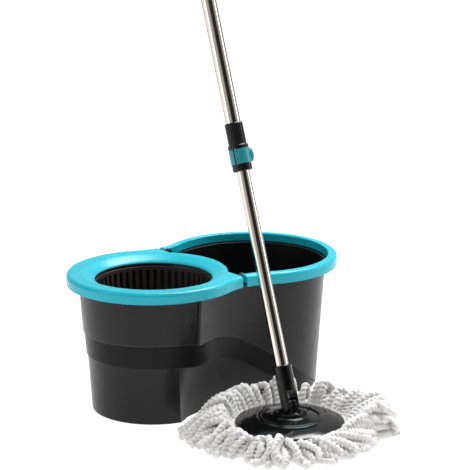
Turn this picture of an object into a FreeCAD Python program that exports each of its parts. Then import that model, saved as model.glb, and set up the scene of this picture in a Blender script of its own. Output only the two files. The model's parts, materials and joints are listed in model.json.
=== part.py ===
"""Spin mop set: a twin-bowl bucket with a spin basket and carry handle, and a hand-press mop.

Millimetres, +Z up. The origin is on the floor under the middle of the bucket's waist.
The basket bowl is on -X, the rinsing tub on +X, and the mop stands in front, on -Y.
The mop's pole is drawn upright on its hinge pin and then leaned back over the bucket.
"""

import FreeCAD, Part
import math
import os

V = FreeCAD.Vector
UP = V(0, 0, 1)

# Bucket, seen from above: two round bowls joined by a waist.
BOWL_X = -88.0              # centre of the basket bowl
TUB_X = 99.0                # centre of the rinsing tub
BOWL_RIM_R = 131.5          # outer edge of the coloured rim round the basket bowl
TUB_RIM_R = 136.5           # outer edge of the coloured rim round the tub
WAIST_R = 80.0              # the rim's inward curve between the two bowls

# Bucket, heights.
RIM_TOP = 212.0
RIM_SKIRT = 17.0            # depth of the rim's outer skirt
FLANGE_TOP = 198.0          # top of the bucket's own flange, under the coloured rims
FLANGE_T = 2.5
FLOOR_T = 3.0
FOOT_RECESS = 1.5           # the underside is hollowed a little under each bowl
FOOT_RING = 14.0            # width of the ring left standing round each hollow

# Bucket walls, as distances in from the rim's outline.
WALL_TOP_IN = 18.5          # the wall's outer face at its top
WALL_FOOT_IN = 32.0         # the wall's outer face at the floor
WALL_T = 2.4
BAND_STEP = 2.2             # the wavy band is set back from the wall above it
FOOT_STEP = 2.0             # and the lower wall is set back from the band

# Shallow panels that close the waist above the band. Each stands proud of the basket
# bowl along an upright, rounded edge, and runs smoothly into the tub.
PANEL_STEP = 4.0
PANEL_EDGE = 2.5            # width of the edge's rounding
PANEL_R = 170.0             # the panel's inward curve, at the rim's outline

# Scoop that narrows the waist below the band.
SCOOP_HALF_LENGTH = 130.0
SCOOP_HALF_DEPTH = 56.0
SCOOP_CENTRE_Y = 125.0

# Coloured rims.
HANDLE_WIDTH = 14.5         # of the carry handle's channel
RING_WIDTH = 20.0           # of the basket ring's channel
RIM_T = 2.6
RIM_ROUND = 6.0
HANDLE_EDGE_ROUND = 2.2
RIM_GAP_X = 4.0             # the basket ring ends here on -X, the carry handle on +X
INNER_SKIRT_BOTTOM = 199.0
FLANGE_SIDE_GAP = 2.5       # between the flange's edge and the outer skirt
FUNNEL_OUTER_R = 112.5      # the ring's edge on the tub's side
WEB_X = -50.0               # webs fill the wings' corners from here to the waist
WEB_BOTTOM = 203.0
WEB_HALF = 68.0             # the webs start this far from the middle line

# The dished collar round the basket's mouth: (radius, height).
FUNNEL_TOP_SIDE = [
    (88.5, 199.5), (88.5, 201.1), (89.9, 202.9), (97.0, 207.1), (104.5, 210.7),
    (108.5, 211.8), (111.1, 212.0), (112.5, 210.8), (112.5, 201.0),
]
FUNNEL_UNDERSIDE = [(109.9, 201.0), (109.9, 208.4), (105.0, 207.9), (97.5, 204.3)]
FUNNEL_CURVES = [(1, 6)]    # these points of the top side are joined by one curve

# Carry handle pivots.
PIVOT_X = 8.0
PIVOT_Z = 205.0
PIVOT_R = 3.5
PIVOT_FIT = 0.05
PIVOT_EAR_Y = 97.4          # outer face of each ear
PIVOT_EAR_T = 6.0
PIVOT_PIN_REACH = 11.0
PIVOT_EAR_R = 7.0
PIVOT_PLATE_X = (-16.0, 2.0)
PIVOT_PLATE_Y = 104.0
PIVOT_PLATE_T = 3.0
PIVOT_PLATE_ROOM = 0.3
HANDLE_BLOCK_X = 19.0       # the handle's solid ends reach this far past the waist
HANDLE_BLOCK_BOTTOM = 200.0

# Spin basket.
BASKET_TOP = 196.0
BASKET_BOTTOM = 92.0
BASKET_TOP_R = 89.5
BASKET_FOOT_R = 82.0
BASKET_T = 2.4
BASKET_LIP_R = 95.0
BASKET_LIP_T = 2.5
BASKET_FOOT_EDGE = 5.0      # bevel round the basket's foot
BASKET_FOOT_EDGE_IN = 4.0
SLOT_COUNT = 48
SLOT_W = 5.0
SLOT_TOP = 189.5
SLOT_FOOT = 106.0
SLOT_IN_R = 72.0            # the slots are cut from here outwards
FLOOR_SLOT_COUNT = 16
FLOOR_SLOT_W = 4.0
FLOOR_SLOT_IN_R = 30.0
FLOOR_SLOT_OUT_R = 70.0
HUB_R = 15.0
HUB_TOP = 120.0

# Spindle under the basket.
POST_FOOT_R = 28.0
POST_FOOT_T = 4.0
POST_NECK_R = 18.0
POST_TOP_R = 13.0
POST_SCREW_R = 3.0
POST_SCREW_T = 2.0
POST_SCREW_AT_R = 22.8
POST_SCREW_COUNT = 3
POST_TOP = 90.0
PIN_R = 4.0
PIN_FOOT = 50.0
PIN_TOP = 117.0
PIN_CHAMFER = 0.8
BUSH_R = 8.0
BUSH_FIT = 0.05
BUSH_PROUD = 1.0            # the bush stands out below the basket

# Domed cap on the basket's hub: (radius, height above the hub).
HUB_CAP = [(0, 0), (17.0, 0), (17.0, 3.0), (14.0, 6.5), (9.0, 9.0), (0, 10.0)]

# Mop head. Its centre, and the height of the pole's hinge pin.
HEAD = V(-27.0, -250.0, 0)
HINGE_Z = 54.5

# Disc, with raised steps round its middle: (radius, height above the disc's rim).
DISC_RIM_Z = 27.0
DISC_RISE = 13.0
DISC_TOP_SIDE = [
    (0, 9.8), (0, DISC_RISE), (25.5, DISC_RISE), (27.0, 11.8), (41.0, 9.6), (42.5, 11.0),
    (46.5, 10.6), (48.0, 8.6), (58.0, 7.3), (68.0, 5.4), (76.0, 3.2), (79.0, 1.8), (80.0, 0),
]
DISC_UNDERSIDE = [(77.8, 0), (75.0, 0.9), (65.6, 3.2), (47.0, 6.2), (40.0, 7.4), (26.0, 9.6)]
DISC_CURVES = [(7, 12), (13, 17)]   # the dished parts, above and below
DISC_TOP_Z = DISC_RIM_Z + DISC_RISE

# Yarn's plain form, from the floor over the crown to the disc's well: (radius, height).
YARN_SIDE = [
    (148.0, 0), (152.0, 6.0), (150.0, 16.0), (136.0, 32.0), (118.0, 45.0), (104.0, 56.0),
    (92.0, 48.0),
]
YARN_HOLE_R = 56.0
YARN_WELL_R = 81.5
YARN_WELL_TOP = 40.0

# Plastic ring that the yarn hangs from.
YARN_RING_IN_R = 59.0
YARN_RING_OUT_R = 79.5
YARN_RING_Z = 13.5
YARN_RING_T = 13.0
YARN_RING_LIP = 3.0
YARN_RING_STEP = 1.0        # the inner lip is this much lower than the outer one
YARN_RING_ROOM = 0.2

# Knuckle between the disc and the pole. The pin lies along X.
LUG_T = 5.8
LUG_GAP = 3.0
LUG_R = 8.5
HINGE_PIN_R = 3.0
HINGE_FIT = 0.05
KNUCKLE_BASE_R = 19.0
KNUCKLE_BASE_T = 4.0
KNUCKLE_BASE_EDGE = 2.0
KNUCKLE_SCREW_Y = 14.0
KNUCKLE_SCREW_R = 2.5
KNUCKLE_SCREW_T = 1.1
KNUCKLE_SCREW_ROOM = 0.1    # round each screw's head and above it
CROSS_HALF_LENGTH = 1.8
CROSS_HALF_WIDTH = 0.4
CROSS_DEPTH = 0.6
PRONG_T = 5.4
PRONG_R = 9.0
PRONG_CLEAR = 0.4

# Pole, measured along it from the hinge pin.
LEAN = 18.6                 # degrees, towards +Y
SOCKET_R = 13.2
SOCKET_FOOT = 15.5
SOCKET_TOP = 57.5
SOCKET_TAPER_IN = 1.5
SOCKET_TAPER_T = 5.0
EDGE = 1.0                  # bevel on the ends of the pole's mouldings
RIVET_R = 1.6
RIVET_Z = 43.5
RIVET_PROUD = 0.4
LOWER_R = 9.5
TUBE_WALL = 0.6
LOWER_FOOT = 22.0
LOWER_TOP = 622.0
UPPER_R = 11.0
UPPER_FOOT = 356.0
UPPER_TOP = 990.0
COLLAR_FOOT = 344.0
COLLAR_FLANGE_R = 14.6
COLLAR_LOW_TOP = 354.0
COLLAR_NECK_R = 12.6
COLLAR_NECK_TOP = 377.0
COLLAR_RIB_FOOT = 382.5
COLLAR_TOP_FLANGE_R = 15.2
COLLAR_SLEEVE_R = 13.3
COLLAR_TOP = 415.0
COLLAR_BORE_FIT = 0.3
RIB_COUNT = 24
RIB_R = 0.7
RIB_CENTRE_R = 13.55
RIB_END_GAP = 2.0

# Lock lever on the collar. Angles are round the pole, from +X.
LEVER_PIN_ANGLE = 212.0
LEVER_SPAN = 112.0
LEVER_IN_R = 12.9
LEVER_OUT_R = 15.8
LEVER_PIN_CENTRE_R = 14.6
LEVER_PIN_R = 0.8
LEVER_PIN_FIT = 0.05
LEVER_KNUCKLE_R = 1.6
LEVER_TIP_R = 5.0
LEVER_TIP_SUNK = 0.4
LEVER_EYE_ANGLE = 4.0       # the paddle starts this far round from the pin
LEVER_ROOM = 0.5            # between the band and the collar's flanges
LEVER_END_ROOM = 0.7        # between the lever and the collar's flanges
BAND_IN_R = 12.6
BAND_OUT_R = 15.2
BAND_TIP_GAP = 24.0         # degrees left free for the lever's finger end
BAND_PIN_GAP = 14.0         # and for the lever's eye

# Grub screw in the collar.
COLLAR_SCREW_R = 1.8
COLLAR_SCREW_Z = 398.0
COLLAR_SCREW_SUNK = 0.2

# Inside the pole: guide bush, drive nut and twisted rod.
PLUG_FOOT = 600.0
PLUG_FLANGE_T = 2.0
PLUG_NECK_R = 6.0
PLUG_NECK_TOP = 636.0
ROD_BORE_R = 3.8
BUSH_TOP = 652.0
BUSH_FOOT = 624.4
BUSH_FLOOR = 640.0
BUSH_CUP_R = 8.3
BUSH_RUN_FIT = 0.05
NUT_Z = 642.0
NUT_T = 2.0
NUT_R = 8.0
BUSH_CAP_FOOT = 646.0
ROD_W = 5.0
ROD_T = 1.5
NUT_SLACK = 0.45
ROD_PITCH = 90.0
ROD_FOOT = 376.0
ROD_TOP = 945.0
ROD_STEP = 15.0             # degrees of twist between sections
ANCHOR_FOOT = 925.0
ANCHOR_TOP = 955.0
ANCHOR_BORE_R = 2.8

# Grip and end cap.
GRIP_FOOT = 868.0
GRIP_TOP = 985.0
GRIP_R = 14.5
GRIP_CUFF_IN = 1.5
GRIP_CUFF_T = 3.0
GRIP_END = 2.0
GRIP_GROOVES = 9
GROOVE_FIRST = 14.0         # from the grip's foot to the first groove
GROOVE_PITCH = 10.111
GROOVE_W = 3.0
GROOVE_DEPTH = 0.9
CAP_R = 13.0
CAP_TOP = 992.0
CAP_DOME = 4.0
CAP_PLUG_FOOT = 965.0
EYE_Z = 1004.0
EYE_R = 6.0
EYE_PLATE_T = 9.0
EYE_PLATE_R = 13.0
EYE_NECK_HALF = 11.0
EYE_NECK_SUNK = 2.0

FAR = 400.0                 # larger than any part of the bucket
OVER = 1.0                  # a cutter runs this far past the face it cuts
TINY = 1e-3                 # lengths closer than this count as equal


# ---------------------------------------------------------------- helpers

def waist_centre(curve_r=WAIST_R):
    """Centre of an inward curve, on +Y, that touches both rim circles."""
    bowl = V(BOWL_X, 0, 0)
    tub = V(TUB_X, 0, 0)
    return circles_meet(bowl, BOWL_RIM_R + curve_r, tub, TUB_RIM_R + curve_r)


def on_circle(x, radius, towards):
    """Point of the circle round (x, 0) that lies in the direction of a point."""
    centre = V(x, 0, 0)
    ray = V(towards.x - x, towards.y, 0)
    return centre + ray.normalize() * radius


def flipped(p):
    return V(p.x, -p.y, p.z)


def circles_meet(centre_a, radius_a, centre_b, radius_b):
    """Where two circles meet, on the +Y side of the line between their centres."""
    span = centre_b - centre_a
    along = (span.Length ** 2 + radius_a ** 2 - radius_b ** 2) / (2 * span.Length)
    across = math.sqrt(radius_a ** 2 - along ** 2)
    ahead = V(span).normalize()
    side = V(-ahead.y, ahead.x, 0)
    return centre_a + ahead * along + side * across


def smooth_plan(inset, z, curve_r=WAIST_R):
    """Rim outline moved in by inset: every arc keeps its centre."""
    centre = waist_centre(curve_r)
    bowl_r = BOWL_RIM_R - inset
    tub_r = TUB_RIM_R - inset
    bowl_end = on_circle(BOWL_X, bowl_r, centre)
    tub_end = on_circle(TUB_X, tub_r, centre)
    middle = V(centre.x, centre.y - curve_r - inset, 0)
    arcs = [
        Part.Arc(flipped(bowl_end), V(BOWL_X - bowl_r, 0, 0), bowl_end),
        Part.Arc(bowl_end, middle, tub_end),
        Part.Arc(tub_end, V(TUB_X + tub_r, 0, 0), flipped(tub_end)),
        Part.Arc(flipped(tub_end), flipped(middle), flipped(bowl_end)),
    ]
    wire = Part.Wire([arc.toShape() for arc in arcs])
    wire.translate(V(0, 0, z))
    return wire


def band_plan(inset, z):
    """Band outline: fuller at the waist than the rim, to run on under the panels."""
    return smooth_plan(inset, z, PANEL_R)


def panel_plan(inset, z):
    """Upper wall outline: panels with an upright edge beside the basket bowl's middle."""
    bowl_r = BOWL_RIM_R - inset
    tub_r = TUB_RIM_R - inset
    curve_r = PANEL_R + inset
    foot = V(BOWL_X, bowl_r, 0)
    shoulder = foot + V(PANEL_EDGE / 4, PANEL_STEP * 3 / 4, 0)
    crown = foot + V(PANEL_EDGE, PANEL_STEP, 0)
    centre = circles_meet(crown, curve_r, V(TUB_X, 0, 0), tub_r + curve_r)
    tub_end = on_circle(TUB_X, tub_r, centre)
    towards = (crown + tub_end) * 0.5 - centre
    middle = centre + towards.normalize() * curve_r
    arcs = [
        Part.Arc(flipped(foot), V(BOWL_X - bowl_r, 0, 0), foot),
        Part.Arc(foot, shoulder, crown),
        Part.Arc(crown, middle, tub_end),
        Part.Arc(tub_end, V(TUB_X + tub_r, 0, 0), flipped(tub_end)),
        Part.Arc(flipped(tub_end), flipped(middle), flipped(crown)),
        Part.Arc(flipped(crown), flipped(shoulder), flipped(foot)),
    ]
    wire = Part.Wire([arc.toShape() for arc in arcs])
    wire.translate(V(0, 0, z))
    return wire


def prism(wire, height):
    return Part.Face(wire).extrude(V(0, 0, height))


def plan_prism(inset, z_low, z_high):
    return prism(smooth_plan(inset, z_low), z_high - z_low)


def box(x_low, x_high, y_low, y_high, z_low, z_high):
    corner = V(x_low, y_low, z_low)
    return Part.makeBox(x_high - x_low, y_high - y_low, z_high - z_low, corner)


def rod(radius, z_low, z_high, centre=V(0, 0, 0)):
    return Part.makeCylinder(radius, z_high - z_low, V(centre.x, centre.y, z_low))


def tube(inner_r, outer_r, z_low, z_high, centre=V(0, 0, 0)):
    return rod(outer_r, z_low, z_high, centre).cut(rod(inner_r, z_low, z_high, centre))


def pin_along_x(radius, x_low, x_high, y=0.0, z=0.0):
    return Part.makeCylinder(radius, x_high - x_low, V(x_low, y, z), V(1, 0, 0))


def pin_along_y(radius, y_low, y_high, x, z):
    return Part.makeCylinder(radius, y_high - y_low, V(x, y_low, z), V(0, 1, 0))


def turned(points, centre=V(0, 0, 0), smooth=()):
    """Solid of revolution about an upright axis, from (radius, height) corners.

    Each pair in smooth is the first and last of a run of points joined by one curve.
    """
    corners = [V(r, 0, z) for r, z in points]
    corners.append(corners[0])
    runs = dict(smooth)
    edges = []
    i = 0
    while i < len(points):
        j = runs.get(i, i + 1)
        if j == i + 1:
            edges.append(Part.makeLine(corners[i], corners[j]))
        else:
            curve = Part.BSplineCurve()
            curve.interpolate(corners[i:j + 1])
            edges.append(curve.toShape())
        i = j
    solid = Part.Face(Part.Wire(edges)).revolve(V(0, 0, 0), UP, 360)
    solid.translate(centre)
    return solid


def polar(radius, degrees, z=0.0):
    angle = math.radians(degrees)
    return V(radius * math.cos(angle), radius * math.sin(angle), z)


def sector(inner_r, outer_r, start, span, z_low, z_high):
    """Part of a ring between two angles."""
    middle = start + span / 2
    end = start + span
    outer = Part.Arc(polar(outer_r, start), polar(outer_r, middle), polar(outer_r, end))
    inner = Part.Arc(polar(inner_r, end), polar(inner_r, middle), polar(inner_r, start))
    sides = [
        Part.LineSegment(polar(outer_r, end), polar(inner_r, end)),
        Part.LineSegment(polar(inner_r, start), polar(outer_r, start)),
    ]
    wire = Part.Wire(Part.__sortEdges__([e.toShape() for e in [outer, inner] + sides]))
    wire.translate(V(0, 0, z_low))
    return prism(wire, z_high - z_low)


def level_edges(shape, z):
    """Edges of a shape that lie at height z."""
    found = []
    for edge in shape.Edges:
        heights = [vertex.Point.z for vertex in edge.Vertexes]
        heights.append(edge.valueAt((edge.FirstParameter + edge.LastParameter) / 2).z)
        if max(abs(height - z) for height in heights) < TINY:
            found.append(edge)
    return found


def both_sides(shape):
    """The shape and its mirror image in the XZ plane, as one group."""
    return Part.makeCompound([shape, shape.mirror(V(0, 0, 0), V(0, 1, 0))])


# ---------------------------------------------------------------- bucket

def wall_inset(z):
    """How far in from the rim's outline the wall's outer face lies at a height."""
    return WALL_FOOT_IN + (WALL_TOP_IN - WALL_FOOT_IN) * z / FLANGE_TOP


def wall_level(plan, inset, z_low, z_high):
    low = plan(wall_inset(z_low) + inset, z_low)
    high = plan(wall_inset(z_high) + inset, z_high)
    return Part.makeLoft([low, high], True, True)


def above_wave(points, inset):
    """Everything above a wavy line across the bucket, seen from the front."""
    line = Part.BSplineCurve()
    line.interpolate([V(x, -FAR, z + inset) for x, z in points])
    first = V(points[0][0], -FAR, points[0][1] + inset)
    last = V(points[-1][0], -FAR, points[-1][1] + inset)
    top_left = V(first.x, -FAR, FAR)
    top_right = V(last.x, -FAR, FAR)
    edges = [
        line.toShape(),
        Part.makeLine(last, top_right),
        Part.makeLine(top_right, top_left),
        Part.makeLine(top_left, first),
    ]
    return Part.Face(Part.Wire(edges)).extrude(V(0, 2 * FAR, 0))


# The band's upper edge, seen from the front: level round the bowl, a low crest at the
# waist, then down to the foot of the tub.
BAND_TOP = [
    (-FAR, 123.0), (-180.0, 123.0), (-120.0, 123.5), (-82.0, 120.0), (-40.0, 121.5),
    (-8.0, 114.5), (16.0, 103.5), (61.0, 76.0), (100.0, 50.0), (150.0, 16.0), (FAR, -150.0),
]
BAND_DROP = 35.0            # width of the band round the bowl


def band_foot():
    """Lower edge of the band."""
    return [(x, z - BAND_DROP) for x, z in BAND_TOP]


def scoop(inset):
    """Hollow that pinches the waist below the band, front and back."""
    ellipse = Part.Ellipse(V(0, 0, 0), SCOOP_HALF_LENGTH + inset, SCOOP_HALF_DEPTH + inset)
    wire = Part.Wire(ellipse.toShape())
    wire.translate(V(waist_centre().x, -SCOOP_CENTRE_Y, -OVER))
    return both_sides(prism(wire, FAR))


def bucket_form(inset, z_low, z_high):
    """The bucket's stepped outer form, moved in by inset, between two heights."""
    foot = wall_level(smooth_plan, inset + BAND_STEP + FOOT_STEP, z_low, z_high)
    band = wall_level(band_plan, inset + BAND_STEP, z_low, z_high)
    wall = wall_level(panel_plan, inset, z_low, z_high)
    band_zone = above_wave(band_foot(), inset)
    foot = foot.cut(scoop(inset).cut(band_zone))
    band = band.common(band_zone)
    wall = wall.common(above_wave(BAND_TOP, inset))
    return foot.fuse([band, wall]).removeSplitter()


def bucket_shell():
    flange = plan_prism(RIM_T + FLANGE_SIDE_GAP, FLANGE_TOP - FLANGE_T, FLANGE_TOP)
    outer = bucket_form(0, 0, FLANGE_TOP).fuse(flange)
    inner = bucket_form(WALL_T, FLOOR_T, FLANGE_TOP + OVER)
    shell = outer.cut(inner)
    for x, rim_r in ((BOWL_X, BOWL_RIM_R), (TUB_X, TUB_RIM_R)):
        hollow_r = rim_r - WALL_FOOT_IN - FOOT_RING
        shell = shell.cut(rod(hollow_r, -OVER, FOOT_RECESS, V(x, 0, 0)))
    return shell.removeSplitter()


# ---------------------------------------------------------------- coloured rims

def between(x_low, x_high):
    """Block that keeps only what lies between two x limits."""
    return box(x_low, x_high, -FAR, FAR, 0, FAR)


def rim_channel(width, inner_round, x_low, x_high):
    """Solid rim of a given width between two x limits, rounded along its top."""
    bottom = RIM_TOP - RIM_SKIRT
    outer = plan_prism(0, bottom, RIM_TOP)
    outer = outer.makeFillet(RIM_ROUND, level_edges(outer, RIM_TOP))
    ring = outer.cut(plan_prism(width, bottom, RIM_TOP))
    if inner_round:
        inner_edges = [e for e in level_edges(ring, RIM_TOP) if near_plan(e, width)]
        ring = ring.makeFillet(inner_round, inner_edges)
    return ring.common(between(x_low, x_high))


def near_plan(edge, inset):
    """Whether an edge of the rim's top lies on the outline moved in by inset."""
    middle = edge.valueAt((edge.FirstParameter + edge.LastParameter) / 2)
    return Part.Vertex(middle).distToShape(smooth_plan(inset, RIM_TOP))[0] < TINY


def channel_hollow(width, x_low, x_high):
    """Space under the rim's top, between its two skirts."""
    bottom = RIM_TOP - RIM_SKIRT - OVER
    hollow = plan_prism(RIM_T, bottom, RIM_TOP - RIM_T)
    hollow = hollow.cut(plan_prism(width - RIM_T, bottom, RIM_TOP - RIM_T))
    return hollow.common(between(x_low, x_high))


def flange_room(x_low, x_high, top):
    """Room for the bucket's flange inside the outer skirt, up to a given height."""
    bottom = RIM_TOP - RIM_SKIRT - OVER
    room = plan_prism(RIM_T, bottom, top).cut(plan_prism(RING_WIDTH + OVER, bottom, top))
    return room.common(between(x_low, x_high))


def funnel():
    """Dished collar round the basket's mouth."""
    return turned(FUNNEL_TOP_SIDE + FUNNEL_UNDERSIDE, V(BOWL_X, 0, 0), FUNNEL_CURVES)


def basket_ring():
    limit = -RIM_GAP_X
    ring = rim_channel(RING_WIDTH, 0, -FAR, limit)
    ring = ring.cut(channel_hollow(RING_WIDTH, -FAR, limit - RIM_T))
    web = plan_prism(RING_WIDTH - RIM_T, WEB_BOTTOM, RIM_TOP).common(between(WEB_X, limit))
    web = web.cut(rod(FUNNEL_OUTER_R - RIM_T, 0, FAR, V(BOWL_X, 0, 0)))
    web = web.cut(box(WEB_X, limit, -WEB_HALF, WEB_HALF, 0, FAR))
    ring = ring.fuse([funnel(), web]).removeSplitter()
    ring = ring.cut(flange_room(-FAR, limit, INNER_SKIRT_BOTTOM))
    return ring.cut(both_sides(pivot_plate(PIVOT_PLATE_ROOM)))


def carry_handle():
    handle = rim_channel(HANDLE_WIDTH, HANDLE_EDGE_ROUND, RIM_GAP_X, FAR)
    handle = handle.cut(channel_hollow(HANDLE_WIDTH, HANDLE_BLOCK_X, FAR))
    handle = handle.cut(flange_room(0, FAR, INNER_SKIRT_BOTTOM))
    handle = handle.cut(flange_room(0, HANDLE_BLOCK_X, HANDLE_BLOCK_BOTTOM))
    bore_end = waist_centre().y - WAIST_R - RIM_T
    bore = pin_along_y(PIVOT_R + PIVOT_FIT, PIVOT_EAR_Y - OVER, bore_end, PIVOT_X, PIVOT_Z)
    return handle.cut(both_sides(bore))


def pivot_plate(room):
    """Foot of a pivot ear: it lies on the flange, trapped under the basket ring."""
    x_low, x_high = PIVOT_PLATE_X
    y_low = PIVOT_EAR_Y - PIVOT_EAR_T - room
    z_high = FLANGE_TOP + PIVOT_PLATE_T + room
    return box(x_low - room, x_high + room, y_low, PIVOT_PLATE_Y + room, FLANGE_TOP - room, z_high)


def bail_pivots():
    y_low = PIVOT_EAR_Y - PIVOT_EAR_T
    x_low = PIVOT_PLATE_X[1] - PIVOT_EAR_T
    ear = box(x_low, PIVOT_X, y_low, PIVOT_EAR_Y, FLANGE_TOP, PIVOT_Z + PIVOT_EAR_T / 2)
    round_end = pin_along_y(PIVOT_EAR_R, y_low, PIVOT_EAR_Y, PIVOT_X, PIVOT_Z)
    pin = pin_along_y(PIVOT_R, PIVOT_EAR_Y, PIVOT_EAR_Y + PIVOT_PIN_REACH, PIVOT_X, PIVOT_Z)
    return both_sides(pivot_plate(0).fuse([ear, round_end, pin]).removeSplitter())


# ---------------------------------------------------------------- spin basket

def spin_basket():
    centre = V(BOWL_X, 0, 0)
    form = turned([
        (0, BASKET_BOTTOM),
        (BASKET_FOOT_R - BASKET_FOOT_EDGE, BASKET_BOTTOM),
        (BASKET_FOOT_R, BASKET_BOTTOM + BASKET_FOOT_EDGE),
        (BASKET_TOP_R, BASKET_TOP - BASKET_LIP_T),
        (BASKET_LIP_R, BASKET_TOP - BASKET_LIP_T),
        (BASKET_LIP_R, BASKET_TOP),
        (BASKET_TOP_R - BASKET_T, BASKET_TOP),
        (BASKET_FOOT_R - BASKET_T, BASKET_BOTTOM + BASKET_T + BASKET_FOOT_EDGE_IN),
        (BASKET_FOOT_R - BASKET_T - BASKET_FOOT_EDGE_IN, BASKET_BOTTOM + BASKET_T),
        (HUB_R, BASKET_BOTTOM + BASKET_T),
        (HUB_R, HUB_TOP),
        (0, HUB_TOP),
    ], centre)
    cutters = [rod(BUSH_R, 0, FAR, centre)]
    for i in range(SLOT_COUNT):
        slot = box(SLOT_IN_R, BASKET_LIP_R, -SLOT_W / 2, SLOT_W / 2, SLOT_FOOT, SLOT_TOP)
        slot.rotate(V(0, 0, 0), UP, 360.0 * i / SLOT_COUNT)
        slot.translate(centre)
        cutters.append(slot)
    for i in range(FLOOR_SLOT_COUNT):
        slot = box(FLOOR_SLOT_IN_R, FLOOR_SLOT_OUT_R, -FLOOR_SLOT_W / 2, FLOOR_SLOT_W / 2,
                   BASKET_BOTTOM - OVER, BASKET_BOTTOM + BASKET_T + OVER)
        slot.rotate(V(0, 0, 0), UP, 360.0 * (i + 0.5) / FLOOR_SLOT_COUNT)
        slot.translate(centre)
        cutters.append(slot)
    return form.cut(cutters)


def basket_bush():
    return tube(PIN_R + BUSH_FIT, BUSH_R, BASKET_BOTTOM - BUSH_PROUD, HUB_TOP, V(BOWL_X, 0, 0))


def basket_cap():
    """Domed cap that closes the basket's hub."""
    return turned([(radius, HUB_TOP + rise) for radius, rise in HUB_CAP], V(BOWL_X, 0, 0))


def spindle_post():
    """Cone that stands on the bucket's floor and holds the spindle."""
    centre = V(BOWL_X, 0, 0)
    foot_top = FLOOR_T + POST_FOOT_T
    cone = turned([
        (0, FLOOR_T), (POST_FOOT_R, FLOOR_T), (POST_FOOT_R, foot_top),
        (POST_NECK_R, foot_top), (POST_TOP_R, POST_TOP), (0, POST_TOP),
    ], centre)
    return cone.cut(rod(PIN_R, PIN_FOOT, FAR, centre))


def spindle_pin():
    pin = rod(PIN_R, PIN_FOOT, PIN_TOP, V(BOWL_X, 0, 0))
    return pin.makeChamfer(PIN_CHAMFER, level_edges(pin, PIN_TOP))


def post_screws():
    """Three pan-head screws that hold the post's foot to the bucket's floor."""
    screws = []
    foot_top = FLOOR_T + POST_FOOT_T
    for i in range(POST_SCREW_COUNT):
        at = V(BOWL_X, 0, 0) + polar(POST_SCREW_AT_R, 360 * i / POST_SCREW_COUNT)
        screws.append(rod(POST_SCREW_R, foot_top, foot_top + POST_SCREW_T, at))
    return Part.makeCompound(screws)


# ---------------------------------------------------------------- mop head

def mop_yarn():
    """Plain closed form of the yarn fringe, with the well that the disc sits in."""
    seat = YARN_RING_Z - YARN_RING_ROOM
    well = [(YARN_WELL_R, YARN_WELL_TOP), (YARN_WELL_R, seat), (YARN_HOLE_R, seat)]
    return turned([(YARN_HOLE_R, 0)] + YARN_SIDE + well, HEAD)


def yarn_ring():
    """Plastic ring that the yarn is clamped in; the disc snaps down onto it."""
    top = YARN_RING_Z + YARN_RING_T
    floor = top - YARN_RING_LIP
    outer_lip = YARN_RING_OUT_R - YARN_RING_LIP
    inner_lip = YARN_RING_IN_R + YARN_RING_LIP
    inner_top = top - YARN_RING_STEP
    return turned([
        (YARN_RING_IN_R, YARN_RING_Z), (YARN_RING_OUT_R, YARN_RING_Z), (YARN_RING_OUT_R, top),
        (outer_lip, top), (outer_lip, floor), (inner_lip, floor), (inner_lip, inner_top),
        (YARN_RING_IN_R, inner_top),
    ], HEAD)


def mop_disc():
    """Shallow dished disc with raised steps round its middle."""
    profile = [(radius, DISC_RIM_Z + rise) for radius, rise in DISC_TOP_SIDE + DISC_UNDERSIDE]
    return turned(profile, HEAD, DISC_CURVES)


def lug(x_low, x_high, foot_z):
    """Upright lug with a round end about the hinge pin."""
    round_end = pin_along_x(LUG_R, x_low, x_high, 0, HINGE_Z)
    foot = box(x_low, x_high, -LUG_R, LUG_R, foot_z, HINGE_Z)
    return round_end.fuse(foot).removeSplitter()


def disc_knuckle():
    """Round foot with two lugs that stand between the fork's prongs."""
    foot_top = DISC_TOP_Z + KNUCKLE_BASE_T
    foot = turned([
        (0, DISC_TOP_Z), (KNUCKLE_BASE_R, DISC_TOP_Z), (KNUCKLE_BASE_R, foot_top - KNUCKLE_BASE_EDGE),
        (KNUCKLE_BASE_R - KNUCKLE_BASE_EDGE, foot_top), (0, foot_top),
    ])
    inner = LUG_GAP / 2
    outer = inner + LUG_T
    right = lug(inner, outer, foot_top - OVER)
    left = lug(-outer, -inner, foot_top - OVER)
    bore = pin_along_x(HINGE_PIN_R, -outer - OVER, outer + OVER, 0, HINGE_Z)
    solid = foot.fuse([left, right]).removeSplitter().cut(bore)
    seat_r = KNUCKLE_SCREW_R + KNUCKLE_SCREW_ROOM
    seat_z = foot_top - KNUCKLE_SCREW_T - KNUCKLE_SCREW_ROOM
    for side in (-1, 1):
        at = V(0, KNUCKLE_SCREW_Y * side, 0)
        solid = solid.cut(rod(seat_r, seat_z, foot_top + OVER, at))
    solid.translate(HEAD)
    return solid


def knuckle_screws():
    """Two countersunk screws through the knuckle's foot."""
    top = DISC_TOP_Z + KNUCKLE_BASE_T - KNUCKLE_SCREW_ROOM
    low = top - CROSS_DEPTH
    high = top + OVER
    screws = []
    for side in (-1, 1):
        at = HEAD + V(0, KNUCKLE_SCREW_Y * side, 0)
        head = rod(KNUCKLE_SCREW_R, top - KNUCKLE_SCREW_T, top, at)
        along = box(-CROSS_HALF_LENGTH, CROSS_HALF_LENGTH, -CROSS_HALF_WIDTH, CROSS_HALF_WIDTH, low, high)
        across = box(-CROSS_HALF_WIDTH, CROSS_HALF_WIDTH, -CROSS_HALF_LENGTH, CROSS_HALF_LENGTH, low, high)
        for cut in (along, across):
            cut.translate(at)
        screws.append(head.cut([along, across]))
    return Part.makeCompound(screws)


# ---------------------------------------------------------------- pole, upright on its pin

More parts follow.
